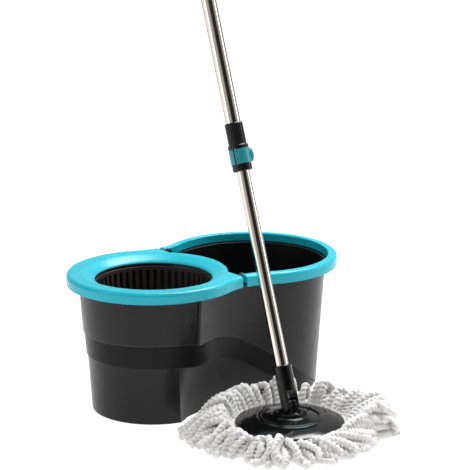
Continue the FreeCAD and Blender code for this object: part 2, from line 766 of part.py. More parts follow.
def lean(shape):
    """Lean an upright pole part back over the bucket and set it on the mop head."""
    shape.rotate(V(0, 0, 0), V(1, 0, 0), -LEAN)
    shape.translate(HEAD + V(0, 0, HINGE_Z))
    return shape


def fork_reach():
    """Half the width over the fork's prongs, along the hinge pin."""
    return LUG_GAP / 2 + LUG_T + PRONG_CLEAR + PRONG_T


def pole_fork():
    """Socket for the lower tube, with two prongs that straddle the knuckle."""
    outer = fork_reach()
    inner = outer - PRONG_T
    solid = turned([
        (0, SOCKET_FOOT), (SOCKET_R - SOCKET_TAPER_IN, SOCKET_FOOT),
        (SOCKET_R, SOCKET_FOOT + SOCKET_TAPER_T), (SOCKET_R, SOCKET_TOP - EDGE),
        (SOCKET_R - EDGE, SOCKET_TOP), (0, SOCKET_TOP),
    ])
    for low, high in ((-outer, -inner), (inner, outer)):
        prong = pin_along_x(PRONG_R, low, high)
        prong = prong.fuse(box(low, high, -PRONG_R, PRONG_R, 0, SOCKET_FOOT + SOCKET_TAPER_T))
        solid = solid.fuse(prong.common(rod(SOCKET_R, -PRONG_R, SOCKET_TOP)))
    solid = solid.removeSplitter()
    solid = solid.cut(rod(LOWER_R, LOWER_FOOT, FAR))
    solid = solid.cut(pin_along_x(HINGE_PIN_R + HINGE_FIT, -outer - OVER, outer + OVER))
    return lean(solid.cut(cross_rivet()))


def hinge_pin():
    """Steel pin held in the knuckle's lugs; the fork's prongs turn on its ends."""
    return lean(pin_along_x(HINGE_PIN_R, -fork_reach(), fork_reach()))


def cross_rivet():
    reach = SOCKET_R + RIVET_PROUD
    return pin_along_x(RIVET_R, -reach, reach, 0, RIVET_Z)


def socket_rivet():
    """Rivet that holds the lower tube in its socket."""
    return lean(cross_rivet())


def lower_tube():
    solid = tube(LOWER_R - TUBE_WALL, LOWER_R, LOWER_FOOT, LOWER_TOP)
    return lean(solid.cut(cross_rivet()))


def clutch_plug():
    """Plug pressed into the lower tube's end; the guide bush turns on its neck."""
    solid = turned([
        (ROD_BORE_R, PLUG_FOOT), (LOWER_R - TUBE_WALL, PLUG_FOOT), (LOWER_R - TUBE_WALL, LOWER_TOP),
        (LOWER_R, LOWER_TOP), (LOWER_R, LOWER_TOP + PLUG_FLANGE_T),
        (PLUG_NECK_R, LOWER_TOP + PLUG_FLANGE_T), (PLUG_NECK_R, PLUG_NECK_TOP),
        (ROD_BORE_R, PLUG_NECK_TOP),
    ])
    return lean(solid)


def guide_bush():
    """Sleeve that slides in the upper tube and holds the drive nut in its cup."""
    outer_r = UPPER_R - TUBE_WALL - BUSH_RUN_FIT
    solid = turned([
        (PLUG_NECK_R + BUSH_RUN_FIT, BUSH_FOOT), (outer_r, BUSH_FOOT), (outer_r, BUSH_TOP),
        (BUSH_CUP_R, BUSH_TOP), (BUSH_CUP_R, BUSH_FLOOR), (PLUG_NECK_R + BUSH_RUN_FIT, BUSH_FLOOR),
    ])
    return lean(solid)


def bush_cap():
    return lean(tube(ROD_BORE_R, BUSH_CUP_R, BUSH_CAP_FOOT, BUSH_TOP))


def drive_nut():
    """Slotted plate that the twisted rod turns as it passes through."""
    solid = rod(NUT_R, NUT_Z, NUT_Z + NUT_T)
    half_w = ROD_W / 2 + NUT_SLACK
    half_t = ROD_T / 2 + NUT_SLACK
    slot = box(-half_w, half_w, -half_t, half_t, NUT_Z - OVER, NUT_Z + NUT_T + OVER)
    return lean(solid.cut(slot))


def twisted_rod():
    """Flat strip twisted along its length; it is square to the nut's slot at rest."""
    nut_middle = NUT_Z + NUT_T / 2
    step = ROD_PITCH * ROD_STEP / 360.0
    below = int((nut_middle - ROD_FOOT) / step)
    above = int((ROD_TOP - nut_middle) / step)
    sections = []
    for i in range(-below, above + 1):
        corners = [
            V(-ROD_W / 2, -ROD_T / 2, 0), V(ROD_W / 2, -ROD_T / 2, 0),
            V(ROD_W / 2, ROD_T / 2, 0), V(-ROD_W / 2, ROD_T / 2, 0),
        ]
        wire = Part.makePolygon(corners + corners[:1])
        wire.rotate(V(0, 0, 0), UP, ROD_STEP * i)
        wire.translate(V(0, 0, nut_middle + step * i))
        sections.append(wire)
    return lean(Part.makeLoft(sections, True, True))


def rod_anchor():
    """Plug in the upper tube that holds the top of the twisted rod."""
    solid = rod(UPPER_R - TUBE_WALL, ANCHOR_FOOT, ANCHOR_TOP)
    return lean(solid.cut(rod(ANCHOR_BORE_R, 0, ROD_TOP + OVER)))


def upper_tube():
    return lean(tube(UPPER_R - TUBE_WALL, UPPER_R, UPPER_FOOT, UPPER_TOP))


def lock_collar():
    """Ribbed sleeve on the upper tube's foot, with a neck for the lock lever."""
    solid = turned([
        (0, COLLAR_FOOT), (COLLAR_FLANGE_R - EDGE, COLLAR_FOOT),
        (COLLAR_FLANGE_R, COLLAR_FOOT + EDGE), (COLLAR_FLANGE_R, COLLAR_LOW_TOP),
        (COLLAR_NECK_R, COLLAR_LOW_TOP), (COLLAR_NECK_R, COLLAR_NECK_TOP),
        (COLLAR_TOP_FLANGE_R, COLLAR_NECK_TOP), (COLLAR_TOP_FLANGE_R, COLLAR_RIB_FOOT - EDGE),
        (COLLAR_TOP_FLANGE_R - EDGE, COLLAR_RIB_FOOT), (COLLAR_SLEEVE_R, COLLAR_RIB_FOOT),
        (COLLAR_SLEEVE_R, COLLAR_TOP - EDGE), (COLLAR_SLEEVE_R - EDGE, COLLAR_TOP),
        (0, COLLAR_TOP),
    ])
    grooves = []
    for i in range(RIB_COUNT):
        at = polar(RIB_CENTRE_R, 360.0 * i / RIB_COUNT)
        grooves.append(rod(RIB_R, COLLAR_RIB_FOOT + RIB_END_GAP, COLLAR_TOP - RIB_END_GAP, at))
    solid = solid.cut(grooves)
    solid = solid.cut(rod(LOWER_R + COLLAR_BORE_FIT, 0, UPPER_TOP))
    screw_hole = pin_along_y(COLLAR_SCREW_R, 0, SOCKET_R + COLLAR_FLANGE_R, 0, COLLAR_SCREW_Z)
    return lean(solid.cut([rod(UPPER_R, UPPER_FOOT, UPPER_TOP), screw_hole]))


def lever_pin_at():
    return polar(LEVER_PIN_CENTRE_R, LEVER_PIN_ANGLE)


def lever_band():
    """Fixed part of the coloured clamp, round the back of the collar's neck."""
    low = COLLAR_LOW_TOP + LEVER_ROOM
    high = COLLAR_NECK_TOP - LEVER_ROOM
    start = LEVER_PIN_ANGLE + LEVER_SPAN + BAND_TIP_GAP
    span = 360 - LEVER_SPAN - BAND_TIP_GAP - BAND_PIN_GAP
    return lean(sector(BAND_IN_R, BAND_OUT_R, start, span, low, high))


def lever_pin():
    return lean(rod(LEVER_PIN_R, COLLAR_LOW_TOP, COLLAR_NECK_TOP, lever_pin_at()))


def lock_lever():
    """Curved paddle hinged on an upright pin, with a raised finger end."""
    low = COLLAR_LOW_TOP + LEVER_END_ROOM
    high = COLLAR_NECK_TOP - LEVER_END_ROOM
    paddle = sector(LEVER_IN_R, LEVER_OUT_R, LEVER_PIN_ANGLE + LEVER_EYE_ANGLE,
                    LEVER_SPAN - LEVER_EYE_ANGLE, low, high)
    eye = rod(LEVER_KNUCKLE_R, low, high, lever_pin_at())
    tip_at = polar(LEVER_OUT_R - LEVER_TIP_SUNK, LEVER_PIN_ANGLE + LEVER_SPAN)
    middle = (low + high) / 2
    half = (high - low) / 2
    squeeze = FreeCAD.Matrix()
    squeeze.scale(LEVER_TIP_R / half, LEVER_TIP_R / half, 1)
    tip = Part.makeSphere(half).transformGeometry(squeeze)
    tip.translate(V(tip_at.x, tip_at.y, middle))
    tip = tip.cut(rod(LEVER_IN_R, 0, FAR))
    bore = rod(LEVER_PIN_R + LEVER_PIN_FIT, 0, FAR, lever_pin_at())
    return lean(paddle.fuse([eye, tip]).cut(bore))


def collar_screw():
    """Grub screw that keeps the collar on the upper tube."""
    y_high = COLLAR_SLEEVE_R - COLLAR_SCREW_SUNK
    return lean(pin_along_y(COLLAR_SCREW_R, UPPER_R, y_high, 0, COLLAR_SCREW_Z))


def grip():
    """Soft sleeve with shallow grooves."""
    profile = [
        (UPPER_R, GRIP_FOOT), (GRIP_R - GRIP_CUFF_IN, GRIP_FOOT), (GRIP_R, GRIP_FOOT + GRIP_CUFF_T),
    ]
    groove_r = GRIP_R - GROOVE_DEPTH
    for i in range(GRIP_GROOVES):
        low = GRIP_FOOT + GROOVE_FIRST + GROOVE_PITCH * i
        high = low + GROOVE_W
        profile += [
            (GRIP_R, low), (groove_r, low + GROOVE_DEPTH), (groove_r, high - GROOVE_DEPTH),
            (GRIP_R, high),
        ]
    profile += [(GRIP_R, GRIP_TOP - GRIP_END), (GRIP_R - GRIP_END, GRIP_TOP), (UPPER_R, GRIP_TOP)]
    return lean(turned(profile))


def end_cap():
    """Cap on the pole's top, with an eye to hang the mop by."""
    plug_r = UPPER_R - TUBE_WALL
    body = turned([
        (0, CAP_PLUG_FOOT), (plug_r, CAP_PLUG_FOOT), (plug_r, UPPER_TOP), (UPPER_R, UPPER_TOP),
        (UPPER_R, GRIP_TOP), (CAP_R, GRIP_TOP), (CAP_R, CAP_TOP),
        (UPPER_R, CAP_TOP + CAP_DOME), (0, CAP_TOP + CAP_DOME),
    ])
    half = EYE_PLATE_T / 2
    plate = pin_along_x(EYE_PLATE_R, -half, half, 0, EYE_Z)
    neck = box(-half, half, -EYE_NECK_HALF, EYE_NECK_HALF, CAP_TOP - EYE_NECK_SUNK, EYE_Z)
    solid = body.fuse([plate, neck]).removeSplitter()
    return lean(solid.cut(pin_along_x(EYE_R, -EYE_PLATE_T, EYE_PLATE_T, 0, EYE_Z)))


PARTS = [
    bucket_shell, basket_ring, carry_handle, bail_pivots,
    spin_basket, basket_bush, basket_cap, spindle_post, spindle_pin, post_screws,
    mop_yarn, yarn_ring, mop_disc, disc_knuckle, knuckle_screws,
    pole_fork, hinge_pin, socket_rivet, lower_tube, clutch_plug,
    guide_bush, bush_cap, drive_nut, twisted_rod, rod_anchor,
    upper_tube, lock_collar, lever_band, lever_pin, lock_lever, collar_screw, grip, end_cap,
]


def main():
    os.makedirs("parts", exist_ok=True)
    for make in PARTS:
        shape = make()
        bounds = shape.BoundBox
        solids = len(shape.Solids)
        print(f"{make.__name__:16s} valid {shape.isValid()} solids {solids} volume {shape.Volume:12.1f}"
              f"  z {bounds.ZMin:8.2f} {bounds.ZMax:8.2f}")
        shape.exportStep(f"parts/{make.__name__}.step")


main()
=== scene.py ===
"""Looks of the spin mop set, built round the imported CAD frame. Metres, in the CAD's own frame."""
import json
import math
import random

import bpy
import numpy as np
from mathutils import Euler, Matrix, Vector

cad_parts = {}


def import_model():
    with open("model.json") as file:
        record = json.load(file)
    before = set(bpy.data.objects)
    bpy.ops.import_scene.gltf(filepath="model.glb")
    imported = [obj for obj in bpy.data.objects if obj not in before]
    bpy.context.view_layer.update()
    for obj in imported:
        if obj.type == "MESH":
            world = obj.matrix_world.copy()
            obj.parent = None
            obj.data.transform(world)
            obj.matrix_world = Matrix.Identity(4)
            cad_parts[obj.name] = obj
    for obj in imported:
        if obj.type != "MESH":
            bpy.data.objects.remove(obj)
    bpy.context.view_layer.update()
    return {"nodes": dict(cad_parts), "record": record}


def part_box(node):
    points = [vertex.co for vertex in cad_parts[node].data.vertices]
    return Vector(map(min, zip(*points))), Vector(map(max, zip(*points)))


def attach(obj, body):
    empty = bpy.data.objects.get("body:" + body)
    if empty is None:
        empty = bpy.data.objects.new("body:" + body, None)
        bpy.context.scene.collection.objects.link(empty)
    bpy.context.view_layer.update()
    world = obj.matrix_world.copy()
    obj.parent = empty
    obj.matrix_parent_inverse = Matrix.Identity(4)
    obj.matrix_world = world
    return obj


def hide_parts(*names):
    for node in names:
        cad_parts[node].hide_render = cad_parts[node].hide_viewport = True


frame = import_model()

# Camera: where it stands, which way it looks and a long lens.
EYE = Vector((-1.6653, -2.2010, 0.9368))
YAW = 0.6673                # radians, from +Y towards +X
PITCH = 0.2427              # radians, downwards
LENS = 142.1
SENSOR = 36.0
DARK_TURN = 0.35            # the room's dark side lies this far round from the camera

# Where the mop stands, from the frame.
DISC_LOW, DISC_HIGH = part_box("mop_disc")
RING_LOW, RING_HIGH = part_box("yarn_ring")
HEAD = Vector(((DISC_LOW.x + DISC_HIGH.x) / 2, (DISC_LOW.y + DISC_HIGH.y) / 2, 0))
DISC_R = (DISC_HIGH.x - DISC_LOW.x) / 2
RING_R = (RING_HIGH.x - RING_LOW.x) / 2
RING_MID_Z = (RING_LOW.z + RING_HIGH.z) / 2

# Mouldings.
EDGE_R = 0.0020             # the large mouldings' edges are rounded this much
FINE_EDGE_R = 0.0005        # and the small ones'

# Wavy band round the bucket, seen from the front: its upper edge, as (x, z).
BAND_TOP = [
    (-0.200, 0.123), (-0.120, 0.1235), (-0.082, 0.120), (-0.040, 0.1215), (-0.008, 0.1145),
    (0.016, 0.1035), (0.061, 0.076), (0.100, 0.050), (0.150, 0.016), (0.200, 0.0),
]
BAND_LENGTH = 0.4           # the curve's whole width and height, which scale it to 0 to 1
BAND_HEIGHT = 0.2
CURVE_MIDDLE = 0.5          # where x = 0 lies on that scale
BAND_DROP = 0.035           # how deep the band is
BAND_LIP = 0.0016           # and how tall the lip above it
BUCKET_GLOSS = 0.28         # specular level of the walls,
BAND_DULLING = 0.14         # how much less the band has
LIP_SHINE = 0.16            # and how much more the lip

# Colours, as linear red, green and blue.
BUCKET_BLACK = (0.006, 0.006, 0.0062)
RIM_TURQUOISE = (0.008, 0.44, 0.54)
BASKET_BLACK = (0.038, 0.030, 0.027)
POST_BLACK = (0.018, 0.018, 0.019)
DISC_BLACK = (0.004, 0.004, 0.0042)
COLLAR_BLACK = (0.005, 0.005, 0.0053)
LEVER_TURQUOISE = (0.018, 0.235, 0.27)
BEARING_WHITE = (0.78, 0.78, 0.75)
RING_WHITE = (0.80, 0.80, 0.78)
STEEL = (0.80, 0.745, 0.67)         # the tubes face on,
STEEL_PAINTED_DARK_EDGE = (0.22, 0.195, 0.17)    # and seen along the surface: a painted dark reflection at the tubes' edges
PLAIN_STEEL_GREY = (0.60, 0.60, 0.61)
DARK_STEEL_GREY = (0.05, 0.05, 0.052)
GRIP_BLACK = (0.020, 0.020, 0.021)
YARN_WHITE = (0.785, 0.777, 0.76)
YARN_WARM = (0.74, 0.727, 0.705)    # its darkest patches
YARN_PALE = (0.83, 0.827, 0.815)    # and the lightest
FLOOR_GREY = (0.30, 0.30, 0.30)
WHITE = (1, 1, 1, 1)
ROOM_LIGHT = (0.44, 0.44, 0.44, 1)
ROOM_DARK = (0.02, 0.018, 0.016, 1)

# Noise textures and the edge shading.
NOISE_LOW, NOISE_HIGH = 0.35, 0.65  # most of a noise texture's values lie between these
MOTTLE = 0.03                       # share by which a moulding's colour wanders
BEVEL_SAMPLES = 6

# Yarn cords.
CORD_R = 0.0053
CORD_BEAD = 0.0068          # from one bump of the twist to the next
CORD_LOBE = 0.20            # how deep the twist shows
CORD_KNOT = 0.07            # and how much each bump swells the whole cord
CORD_WANDER = 0.06          # how much its thickness drifts along it,
WANDER_RATES = (90, 160)    # and how fast, in radians per metre
TIP_FLOOR = 0.02            # keeps the last ring of a tip from closing up
CORD_REST_Z = 0.0070        # a cord's end stays at least this high
CORD_SIDES = 10             # points round a cord
CORD_STEP = 0.0013          # and from one ring of them to the next
CORD_DIP = 0.0022           # the cords leave the ring about this far below its middle
DISC_CLEARANCE = 0.0085     # and rise this far outside the disc's edge
CURVE_SAMPLES = 24          # points worked out between two knots of a route
MIN_POINTS = 8              # a cord has at least this many
SEED = 11

# The fringe's shape round the head, by azimuth in degrees from +X: how far the cords
# reach, where their crown is and how high, how high their ends stay, how far they lean
# round the head on their way out.
FRINGE = [
    # azimuth, reach, crown radius, crown height, end height, lean
    (0, 0.150, 0.122, 0.053, 0.022, 0),
    (40, 0.138, 0.106, 0.058, 0.018, 2),
    (80, 0.138, 0.103, 0.060, 0.014, 6),
    (110, 0.156, 0.104, 0.058, 0.009, 14),
    (138, 0.163, 0.106, 0.051, 0.006, 6),
    (165, 0.150, 0.104, 0.045, 0.006, -6),
    (190, 0.128, 0.100, 0.038, 0.007, -6),
    (215, 0.134, 0.095, 0.039, 0.010, 0),
    (240, 0.130, 0.095, 0.036, 0.011, 20),
    (262, 0.127, 0.094, 0.037, 0.012, 50),
    (285, 0.138, 0.096, 0.044, 0.018, 50),
    (308, 0.158, 0.116, 0.052, 0.030, 24),
    (335, 0.162, 0.138, 0.057, 0.034, -4),
]
CLUMPS = 11                 # cords bunch together this many times round the head
CLUMP_PULL = 2.6            # how far that moves a cord round, in degrees
CLUMP_TURN = 140            # top and bottom layer are this far out of step, in degrees of a bunch
CLUMP_LIFT = 0.05           # and a bunch stands this share higher in its middle

# Layers of the pile: name, height from 0 at the bottom to 1 at the top, number of cords.
LAYERS = [
    ("yarn_top", 1.0, 66),
    ("yarn_middle", 0.55, 66),
    ("yarn_lower", 0.12, 68),
]
LAYER_RISE = 0.003          # between the bottom and the top layer, at the ring
LAYER_MIDDLE = 0.5
TOP_SHORTER = 0.04          # share by which the top layer is shorter

# How much one cord differs from the next. Shares, metres for the end, degrees for the turns.
AZIMUTH_SCATTER = (-0.3, 0.3)
RADIUS_SCATTER = (0.92, 1.08)
LIFT_SCATTER = (-0.10, 0.10)
END_SCATTER = (-0.002, 0.003)
REACH_SCATTER = (-0.08, 0.03)
CROWN_SCATTER = (-0.03, 0.03)
LEAN_SCATTER = (-7, 7)
SWAY_SCATTER = (-3.5, 3.5)

# A cord's route between its ends, as shares of the way out and up.
RING_BITE = 0.001           # metres that a cord starts inside the ring's edge
FIRST_RISE = 0.12
SECOND_RISE = 0.72
SHOULDER_OUT = 0.55
SHOULDER_UP = 0.62

# Stage.
FLOOR_HALF = 30.0
FLOOR_GLOW = 0.93
DARK_START = 0.76           # about the cosine of the angle from the room's dark direction where it
                            # starts to darken,
DARK_END = 0.92             # and where it is darkest
DARK_RISE = 0.2             # that direction climbs this much
LIGHT_TARGET = (0, -0.05, 0.15)
LIGHTS = [
    # name, place, size, watts
    ("top_light", (0.9, 0.1, 2.1), (1.3, 1.3), 67),
    ("front_light", (-1.5, -1.7, 2.3), (1.0, 1.0), 7),
    ("left_light", (-2.6, 0.6, 1.4), (1.0, 2.4), 11),
    ("right_light", (2.2, -1.3, 1.2), (0.8, 2.4), 13),
]


# ---------------------------------------------------------------- shader helpers

def new_material(name, color, roughness, **inputs):
    """A material whose uniform values sit on the shader's own sockets."""
    mat = bpy.data.materials.new(name)
    mat.use_nodes = True
    shader = mat.node_tree.nodes["Principled BSDF"]
    shader.inputs["Base Color"].default_value = (*color, 1)
    shader.inputs["Roughness"].default_value = roughness
    for socket, value in inputs.items():
        shader.inputs[socket.replace("_", " ")].default_value = value
    return mat


def object_coords(mat, stretch=(1, 1, 1)):
    """Object coordinates, stretched for grain that runs one way."""
    nodes = mat.node_tree.nodes
    coords = nodes.new("ShaderNodeTexCoord")
    mapping = nodes.new("ShaderNodeMapping")
    mapping.inputs["Scale"].default_value = stretch
    mat.node_tree.links.new(coords.outputs["Object"], mapping.inputs["Vector"])
    return mapping.outputs["Vector"]


def noise(mat, scale, detail=3.0, stretch=(1, 1, 1)):
    node = mat.node_tree.nodes.new("ShaderNodeTexNoise")
    node.inputs["Scale"].default_value = scale
    node.inputs["Detail"].default_value = detail
    mat.node_tree.links.new(object_coords(mat, stretch), node.inputs["Vector"])
    return node.outputs["Fac"]


def shader_of(mat):
    return mat.node_tree.nodes["Principled BSDF"]


def vary_roughness(mat, fac, low, high):
    """Roughness that wanders between two values."""
    node = mat.node_tree.nodes.new("ShaderNodeMapRange")
    node.inputs["From Min"].default_value = NOISE_LOW
    node.inputs["From Max"].default_value = NOISE_HIGH
    node.inputs["To Min"].default_value = low
    node.inputs["To Max"].default_value = high
    mat.node_tree.links.new(fac, node.inputs["Value"])
    mat.node_tree.links.new(node.outputs["Result"], shader_of(mat).inputs["Roughness"])


def vary_color(mat, fac, low, high, start=NOISE_LOW, end=NOISE_HIGH):
    """Base colour that wanders between two colours."""
    ramp = mat.node_tree.nodes.new("ShaderNodeValToRGB")
    ramp.color_ramp.elements[0].position = start
    ramp.color_ramp.elements[1].position = end
    ramp.color_ramp.elements[0].color = (*low, 1)
    ramp.color_ramp.elements[1].color = (*high, 1)
    mat.node_tree.links.new(fac, ramp.inputs["Fac"])
    mat.node_tree.links.new(ramp.outputs["Color"], shader_of(mat).inputs["Base Color"])


def round_edges(mat, radius):
    """Shade sharp edges as if they were rounded."""
    node = mat.node_tree.nodes.new("ShaderNodeBevel")
    node.samples = BEVEL_SAMPLES
    node.inputs["Radius"].default_value = radius
    mat.node_tree.links.new(node.outputs["Normal"], shader_of(mat).inputs["Normal"])


def add_bump(mat, fac, strength, distance):
    """Fine relief. Several calls on one material stack up."""
    node = mat.node_tree.nodes.new("ShaderNodeBump")
    node.inputs["Strength"].default_value = strength
    node.inputs["Distance"].default_value = distance
    links = mat.node_tree.links
    links.new(fac, node.inputs["Height"])
    socket = shader_of(mat).inputs["Normal"]
    if socket.is_linked:
        links.new(socket.links[0].from_socket, node.inputs["Normal"])
    links.new(node.outputs["Normal"], socket)


def scaled(color, factor):
    return tuple(channel * factor for channel in color)


# ---------------------------------------------------------------- materials, one per slot

def moulded(name, color, rough, grain=0.05, edge=EDGE_R, **inputs):
    """Injection-moulded plastic: faint mottling, uneven gloss and a fine mould grain."""
    low, high = rough
    mat = new_material(name, color, low, **inputs)
    vary_color(mat, noise(mat, scale=9.0), scaled(color, 1 - MOTTLE), scaled(color, 1 + MOTTLE))
    vary_roughness(mat, noise(mat, scale=42.0, detail=4.0), low, high)
    round_edges(mat, edge)
    add_bump(mat, noise(mat, scale=6.0, detail=1.0), strength=0.06, distance=0.0015)
    add_bump(mat, noise(mat, scale=1400.0, detail=2.0), strength=grain, distance=0.0002)
    return mat


def math_node(mat, operation, a, b):
    """Result of one sum. Each side is a socket or a number."""
    node = mat.node_tree.nodes.new("ShaderNodeMath")
    node.operation = operation
    for socket, value in zip(node.inputs, (a, b)):
        if isinstance(value, (int, float)):
            socket.default_value = value
        else:
            mat.node_tree.links.new(value, socket)
    return node.outputs["Value"]


def below_band_top(mat):
    """How far each point of the bucket lies below the wavy band's upper edge."""
    nodes = mat.node_tree.nodes
    links = mat.node_tree.links
    split = nodes.new("ShaderNodeSeparateXYZ")
    links.new(object_coords(mat), split.inputs["Vector"])
    along = math_node(mat, "ADD", math_node(mat, "DIVIDE", split.outputs["X"], BAND_LENGTH),
                      CURVE_MIDDLE)
    wave = nodes.new("ShaderNodeFloatCurve")
    points = wave.mapping.curves[0].points
    for x, z in BAND_TOP[1:-1]:
        points.new(x / BAND_LENGTH + CURVE_MIDDLE, z / BAND_HEIGHT)
    points[0].location = (0, BAND_TOP[0][1] / BAND_HEIGHT)
    points[-1].location = (1, BAND_TOP[-1][1] / BAND_HEIGHT)
    wave.mapping.update()
    links.new(along, wave.inputs["Value"])
    top = math_node(mat, "MULTIPLY", wave.outputs["Value"], BAND_HEIGHT)
    return math_node(mat, "SUBTRACT", top, split.outputs["Z"])


def strip_mask(mat, value, low, high):
    """1 where a value lies between two limits and 0 elsewhere."""
    return math_node(mat, "MULTIPLY", math_node(mat, "GREATER_THAN", value, low),
                     math_node(mat, "LESS_THAN", value, high))


def bucket_plastic():
    """Satin black, duller on the band and shinier on the lip above it."""
    mat = moulded("bucket_plastic", BUCKET_BLACK, rough=(0.26, 0.34), grain=0.02)
    below = below_band_top(mat)
    band = strip_mask(mat, below, 0.0, BAND_DROP)
    lip = strip_mask(mat, below, -BAND_LIP, 0.0)
    dull = math_node(mat, "MULTIPLY", band, BAND_DULLING)
    shine = math_node(mat, "MULTIPLY", lip, LIP_SHINE)
    gloss = math_node(mat, "ADD", math_node(mat, "SUBTRACT", BUCKET_GLOSS, dull), shine)
    mat.node_tree.links.new(gloss, shader_of(mat).inputs["Specular IOR Level"])
    return mat


def rim_plastic():
    return moulded("rim_plastic", RIM_TURQUOISE, rough=(0.24, 0.32), grain=0.01,
                   Specular_IOR_Level=0.36)


def basket_plastic():
    return moulded("basket_plastic", BASKET_BLACK, rough=(0.26, 0.34))


def post_plastic():
    return moulded("post_plastic", POST_BLACK, rough=(0.42, 0.52))


def disc_plastic():
    """Shiny black without the fine grain, and slightly wavy."""
    mat = new_material("disc_plastic", DISC_BLACK, roughness=0.12, Specular_IOR_Level=0.4)
    vary_roughness(mat, noise(mat, scale=60.0, detail=4.0), low=0.11, high=0.15)
    round_edges(mat, EDGE_R)
    add_bump(mat, noise(mat, scale=9.0, detail=2.0), strength=0.08, distance=0.0015)
    return mat


def knuckle_plastic():
    return moulded("knuckle_plastic", DISC_BLACK, rough=(0.12, 0.18), grain=0.03,
                   edge=FINE_EDGE_R, Specular_IOR_Level=0.30)


def collar_plastic():
    return moulded("collar_plastic", COLLAR_BLACK, rough=(0.20, 0.26), grain=0.03,
                   edge=FINE_EDGE_R, Specular_IOR_Level=0.35)


def lever_plastic():
    return moulded("lever_plastic", LEVER_TURQUOISE, rough=(0.24, 0.32), grain=0.03,
                   edge=FINE_EDGE_R)


def bearing_plastic():
    return moulded("bearing_plastic", BEARING_WHITE, rough=(0.40, 0.50))


def ring_plastic():
    return moulded("ring_plastic", RING_WHITE, rough=(0.36, 0.46))


def polished_steel():
    """Bright tube, darker at its edges as a painted dark reflection, with faint drawing lines and
    smears in the gloss.
    """
    mat = new_material("polished_steel", STEEL, roughness=0.10, Metallic=1.0)
    smears = noise(mat, scale=30.0, detail=4.0, stretch=(1, 1, 0.3))
    vary_roughness(mat, smears, low=0.09, high=0.13)
    drawing_lines = noise(mat, scale=700.0, detail=1.0, stretch=(1, 1, 0.01))
    add_bump(mat, drawing_lines, strength=0.02, distance=0.0001)
    # Painted reflection: the base colour turns darker where the tube is seen edge on, standing in
    # for the dark room reflected there.
    edge = mat.node_tree.nodes.new("ShaderNodeLayerWeight")
    edge.inputs["Blend"].default_value = 0.5
    vary_color(mat, edge.outputs["Facing"], STEEL, STEEL_PAINTED_DARK_EDGE, start=0.40, end=0.75)
    return mat


def plain_metal(name, color, high, **inputs):
    """Satin metal with a fine grain."""
    mat = new_material(name, color, **inputs)
    vary_roughness(mat, noise(mat, scale=160.0, detail=4.0), low=0.26, high=high)
    add_bump(mat, noise(mat, scale=1200.0, detail=2.0), strength=0.08, distance=0.0002)
    return mat


def plain_steel():
    return plain_metal("plain_steel", PLAIN_STEEL_GREY, high=0.42, roughness=0.32, Metallic=1.0)


def dark_steel():
    return plain_metal("dark_steel", DARK_STEEL_GREY, high=0.40, roughness=0.30, Metallic=0.7)


def grip_rubber():
    """Foam-like grip: matt, with a close pebble."""
    mat = new_material("grip_rubber", GRIP_BLACK, roughness=0.75)
    vary_roughness(mat, noise(mat, scale=90.0, detail=4.0), low=0.68, high=0.85)
    add_bump(mat, noise(mat, scale=900.0, detail=3.0), strength=0.30, distance=0.0004)
    return mat


def yarn():
    """White microfibre: soft, very rough, fuzzy, with warmer and paler patches."""
    mat = new_material("yarn", YARN_WHITE, roughness=0.95, Sheen_Weight=0.15,
                       Sheen_Roughness=0.5, Specular_IOR_Level=0.15,
                       Subsurface_Weight=0.4, Subsurface_Scale=0.006,
                       Subsurface_Radius=(1.0, 0.95, 0.9))
    vary_color(mat, noise(mat, scale=28.0), YARN_WARM, YARN_PALE)
    add_bump(mat, noise(mat, scale=380.0), strength=0.45, distance=0.0012)
    add_bump(mat, noise(mat, scale=1500.0), strength=0.35, distance=0.0005)
    return mat


MATERIALS = [
    bucket_plastic, rim_plastic, basket_plastic, post_plastic, disc_plastic, knuckle_plastic,
    collar_plastic, lever_plastic, bearing_plastic, ring_plastic, polished_steel, plain_steel,
    dark_steel, grip_rubber, yarn,
]


def finish_nodes(materials):
    """Give every CAD node the material of its slot."""
    for part in frame["record"]["subparts"]:
        mesh = frame["nodes"][part["node"]].data
        mesh.materials.clear()
        mesh.materials.append(materials[part["material_slot"]])


# ---------------------------------------------------------------- yarn fringe

def fringe_at(azimuth):
    """The fringe's values at an azimuth, smoothly between the listed ones."""
    keys = [row[0] for row in FRINGE]
    turn = azimuth % 360
    count = len(FRINGE)
    i = max(k for k in range(count) if keys[k] <= turn)
    j = (i + 1) % count
    span = (keys[j] - keys[i]) % 360
    t = (turn - keys[i]) / span
    t = t * t * (3 - 2 * t)
    return [a + (b - a) * t for a, b in zip(FRINGE[i][1:], FRINGE[j][1:])]


def smooth_path(points, step):
    """Evenly spaced points of a curve through the given ones."""
    p = np.array(points)
    p = np.vstack([2 * p[0] - p[1], p, 2 * p[-1] - p[-2]])
    pieces = []
    for k in range(1, len(p) - 2):
        t = np.linspace(0, 1, CURVE_SAMPLES, endpoint=False)[:, None]
        a = 2 * p[k]
        b = p[k + 1] - p[k - 1]
        c = 2 * p[k - 1] - 5 * p[k] + 4 * p[k + 1] - p[k + 2]
        d = -p[k - 1] + 3 * p[k] - 3 * p[k + 1] + p[k + 2]
        pieces.append((a + b * t + c * t ** 2 + d * t ** 3) / 2)
    line = np.vstack(pieces + [p[-2][None]])
    gaps = np.linalg.norm(np.diff(line, axis=0), axis=1)
    run = np.concatenate([[0], np.cumsum(gaps)])
    places = np.linspace(0, run[-1], max(MIN_POINTS, int(run[-1] / step)))
    return np.stack([np.interp(places, run, line[:, axis]) for axis in range(3)], 1), places


def cross_frames(line):
    """Two directions square to the line at each point, carried along without twisting."""
    tangents = np.gradient(line, axis=0)
    tangents /= np.linalg.norm(tangents, axis=1)[:, None]
    side = np.cross(tangents[0], (0, 0, 1.0))
    side /= np.linalg.norm(side)
    sides = []
    for tangent in tangents:
        side = side - tangent * np.dot(side, tangent)
        side /= np.linalg.norm(side)
        sides.append(side)
    sides = np.array(sides)
    return sides, np.cross(tangents, sides)


